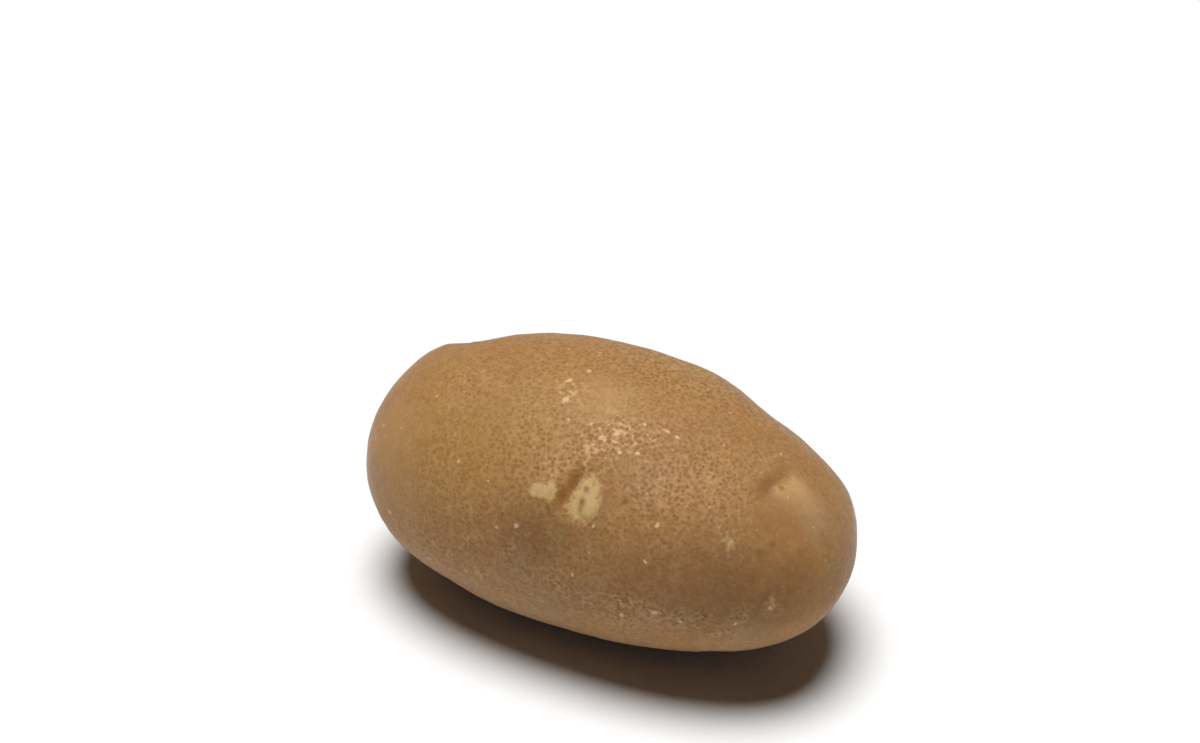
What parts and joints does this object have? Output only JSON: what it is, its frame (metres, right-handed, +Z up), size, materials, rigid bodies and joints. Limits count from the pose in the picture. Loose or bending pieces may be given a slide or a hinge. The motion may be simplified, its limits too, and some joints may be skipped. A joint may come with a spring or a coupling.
{
  "type": "potato",
  "caption": "Whole oblong russet potato with a netted brown skin, shallow eyes and a small flat resting spot.",
  "frame": {"origin": "under the middle of the bounding box, on the surface that the potato lies on", "axes": "+X along the length from the stem end to the bud end, -Y the front, +Z up"},
  "size_m": [0.1194, 0.069, 0.0647],
  "materials": {
    "skin": "matte, netted russet skin: tan net over brown pits, with pale patches at the eyes"
  },
  "bodies": {
    "root": {"potato": "skin"}
  },
  "joints": []
}
